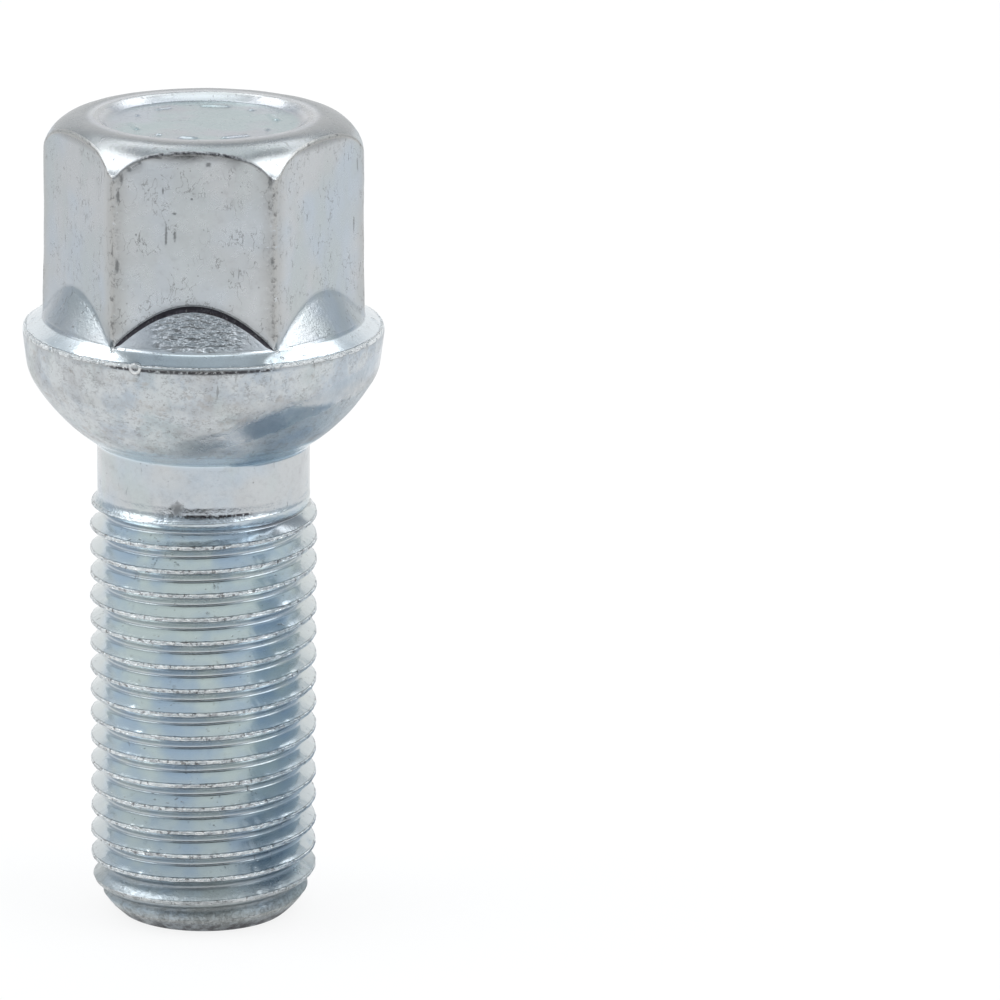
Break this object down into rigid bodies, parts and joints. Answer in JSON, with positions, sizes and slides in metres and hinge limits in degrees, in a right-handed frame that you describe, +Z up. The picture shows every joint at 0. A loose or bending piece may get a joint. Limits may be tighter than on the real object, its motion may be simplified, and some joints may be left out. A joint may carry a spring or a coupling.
{
  "type": "wheel bolt",
  "caption": "Wheel bolt with a domed hexagon head, shallow recess, flared skirt and collar, ball seat, plain neck and right-hand thread.",
  "frame": {"origin": "centre of the flat end face of the thread, which the bolt stands on", "axes": "+Z up along the bolt's axis towards the head; two opposite flats of the hexagon face +Y and -Y"},
  "size_m": [0.0218, 0.0218, 0.0499],
  "materials": {
    "zinc_plated_steel": "satin zinc plating, pale bluish silver, with fine specks and rubbed edges"
  },
  "bodies": {
    "root": {"wheel_bolt": "zinc_plated_steel"}
  },
  "joints": []
}
